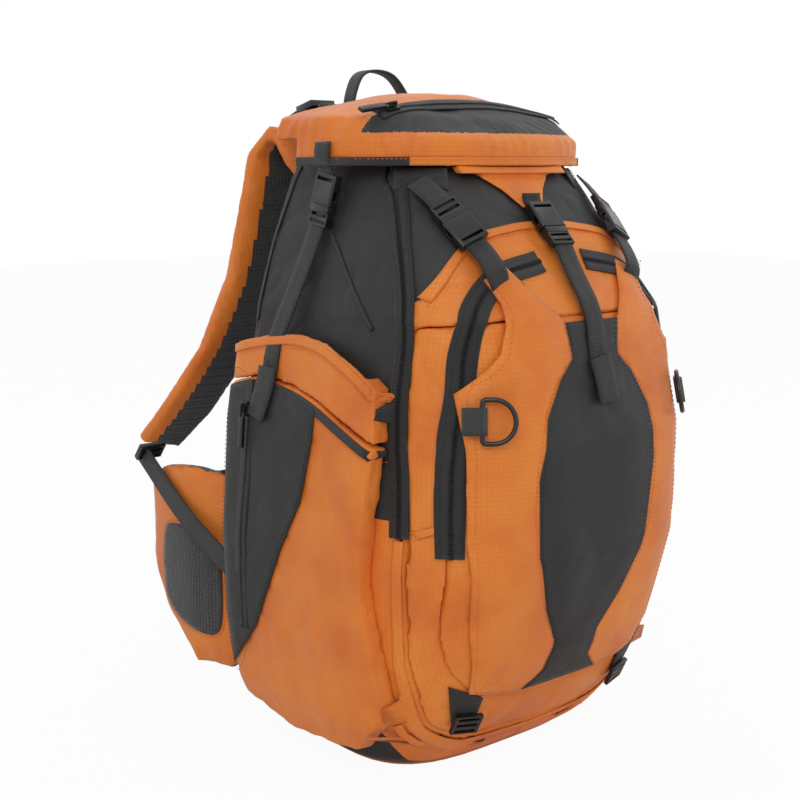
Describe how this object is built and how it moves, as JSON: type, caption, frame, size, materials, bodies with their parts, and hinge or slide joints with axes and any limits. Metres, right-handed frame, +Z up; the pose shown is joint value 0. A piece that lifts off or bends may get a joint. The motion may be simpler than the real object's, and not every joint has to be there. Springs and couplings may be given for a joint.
{
  "type": "hiking backpack",
  "caption": "Hiking backpack with a buckled hinged lid, Y-shaped front flap, zipped side pockets, padded shoulder straps and a hip belt.",
  "frame": {"origin": "flat face under the base, in the middle plane of the bag", "axes": "+Z up, -Y towards the front of the pack, +Y towards the wearer, +X to the right seen from the front"},
  "size_m": [0.3824, 0.529, 0.6171],
  "materials": {
    "orange_ripstop": "coated ripstop",
    "dark_fabric": "matt woven",
    "air_mesh": "open mesh",
    "black_webbing": "ribbed webbing",
    "zip_tape": "coil zip",
    "black_plastic": "moulded",
    "stiff_sheet": "smooth",
    "stay_metal": "plain"
  },
  "bodies": {
    "pack": {"upper_front_panel": "orange_ripstop", "base_panel": "orange_ripstop", "mid_compartment": "orange_ripstop", "front_pocket": "orange_ripstop", "front_flap": "orange_ripstop", "side_pockets": "orange_ripstop", "side_bands": "orange_ripstop", "shoulder_straps": "orange_ripstop", "side_panel_left": "dark_fabric", "side_panel_right": "dark_fabric", "flap_panel": "dark_fabric", "side_pocket_panels": "dark_fabric", "back_panel": "dark_fabric", "back_pads": "air_mesh", "lumbar_pad": "air_mesh", "centre_strap": "black_webbing", "side_strap_left": "black_webbing", "side_strap_right": "black_webbing", "compression_strap_left": "black_webbing", "compression_strap_right": "black_webbing", "compression_tabs": "black_webbing", "ring_loops": "black_webbing", "bottom_tabs": "black_webbing", "load_lifters": "black_webbing", "lower_webbing_left": "black_webbing", "lower_webbing_right": "black_webbing", "main_zips": "zip_tape", "pocket_zip": "zip_tape", "side_zips": "zip_tape", "compression_housings": "black_plastic", "bottom_locks": "black_plastic", "lifter_buckles": "black_plastic", "strap_adjusters": "black_plastic", "frame_sheet": "stiff_sheet", "frame_stays": "stay_metal"},
    "lid": {"lid_shell": "orange_ripstop", "lid_zip": "zip_tape", "lid_tongue": "orange_ripstop", "lid_tabs": "black_webbing", "lid_housings": "black_plastic"},
    "lid_slider": {"lid_slider": "black_plastic"},
    "lid_pull": {"lid_pull": "black_plastic"},
    "side_slider_left": {"side_slider_left": "black_plastic"},
    "side_slider_right": {"side_slider_right": "black_plastic"},
    "side_pull_left": {"side_pull_left": "black_plastic"},
    "side_pull_right": {"side_pull_right": "black_plastic"},
    "centre_plug": {"centre_plug": "black_plastic"},
    "side_plug_left": {"side_plug_left": "black_plastic"},
    "side_plug_right": {"side_plug_right": "black_plastic"},
    "compression_plug_left": {"compression_plug_left": "black_plastic"},
    "compression_plug_right": {"compression_plug_right": "black_plastic"},
    "d_ring_left": {"d_ring_left": "black_plastic"},
    "d_ring_right": {"d_ring_right": "black_plastic"},
    "hip_left": {"hip_wing_left": "orange_ripstop", "waist_webbing_left": "black_webbing", "waist_plug": "black_plastic"},
    "hip_right": {"hip_wing_right": "orange_ripstop", "waist_webbing_right": "black_webbing", "waist_housing": "black_plastic"},
    "grab_handle": {"grab_handle": "black_webbing"}
  },
  "joints": [
    {"name": "lid_hinge", "type": "hinge", "parent": "pack", "child": "lid", "pos_m": [0, 0.074, 0.572], "axis": [-1, 0, 0], "range_deg": [0, 100]},
    {"name": "lid_slider_travel", "type": "hinge", "parent": "lid", "child": "lid_slider", "pos_m": [0, -0.035, -0.005], "axis": [0, 1, 0], "range_deg": [0, 18]},
    {"name": "lid_pull_swing", "type": "hinge", "parent": "lid_slider", "child": "lid_pull", "pos_m": [-0.09017, -0.03834, 0.57102], "axis": [-0.0758, 0.8746, 0.4788], "range_deg": [0, 80]},
    {"name": "side_slider_travel_left", "type": "slide", "parent": "pack", "child": "side_slider_left", "axis": [-0.0432, 0.0412, -0.9982], "range_m": [0, 0.174]},
    {"name": "side_pull_swing_left", "type": "hinge", "parent": "side_slider_left", "child": "side_pull_left", "pos_m": [-0.18801, 0.04832, 0.31428], "axis": [0, 0.9992, 0.0412], "range_deg": [0, 80]},
    {"name": "side_slider_travel_right", "type": "slide", "parent": "pack", "child": "side_slider_right", "axis": [0.0432, 0.0412, -0.9982], "range_m": [0, 0.174]},
    {"name": "side_pull_swing_right", "type": "hinge", "parent": "side_slider_right", "child": "side_pull_right", "pos_m": [0.18801, 0.04832, 0.31428], "axis": [0, -0.9992, -0.0412], "range_deg": [0, 80]},
    {"name": "centre_release", "type": "slide", "parent": "pack", "child": "centre_plug", "axis": [0, -0.6894, -0.7244], "range_m": [0, 0.035], "deforming": ["centre_strap"]},
    {"name": "side_release_left", "type": "slide", "parent": "pack", "child": "side_plug_left", "axis": [-0.1491, 0.169, -0.9743], "range_m": [0, 0.022], "deforming": ["side_strap_left"]},
    {"name": "side_release_right", "type": "slide", "parent": "pack", "child": "side_plug_right", "axis": [0.1491, 0.169, -0.9743], "range_m": [0, 0.022], "deforming": ["side_strap_right"]},
    {"name": "compression_release_left", "type": "slide", "parent": "pack", "child": "compression_plug_left", "axis": [-0.1866, 0.7105, 0.6785], "range_m": [0, 0.018], "deforming": ["compression_strap_left"]},
    {"name": "compression_release_right", "type": "slide", "parent": "pack", "child": "compression_plug_right", "axis": [0.1866, 0.7105, 0.6785], "range_m": [0, 0.018], "deforming": ["compression_strap_right"]},
    {"name": "d_ring_swing_left", "type": "hinge", "parent": "pack", "child": "d_ring_left", "pos_m": [-0.119, -0.18035, 0.326], "axis": [-0.1182, -0.1425, -0.9827], "range_deg": [0, 120]},
    {"name": "d_ring_swing_right", "type": "hinge", "parent": "pack", "child": "d_ring_right", "pos_m": [0.119, -0.18035, 0.326], "axis": [-0.1182, 0.1425, 0.9827], "range_deg": [0, 120]},
    {"name": "hip_wing_swing_left", "type": "hinge", "parent": "pack", "child": "hip_left", "pos_m": [-0.118, 0.1055, 0.142], "axis": [0, 0, 1], "range_deg": [0, 35], "deforming": ["lower_webbing_left"]},
    {"name": "hip_wing_swing_right", "type": "hinge", "parent": "pack", "child": "hip_right", "pos_m": [0.118, 0.1055, 0.142], "axis": [0, 0, -1], "range_deg": [0, 35], "deforming": ["lower_webbing_right"]},
    {"name": "grab_handle_fold", "type": "hinge", "parent": "pack", "child": "grab_handle", "pos_m": [0, 0.0872, 0.548], "axis": [-1, 0, 0], "range_deg": [0, 50], "stiffness_Nm_per_rad": 0.02}
  ]
}
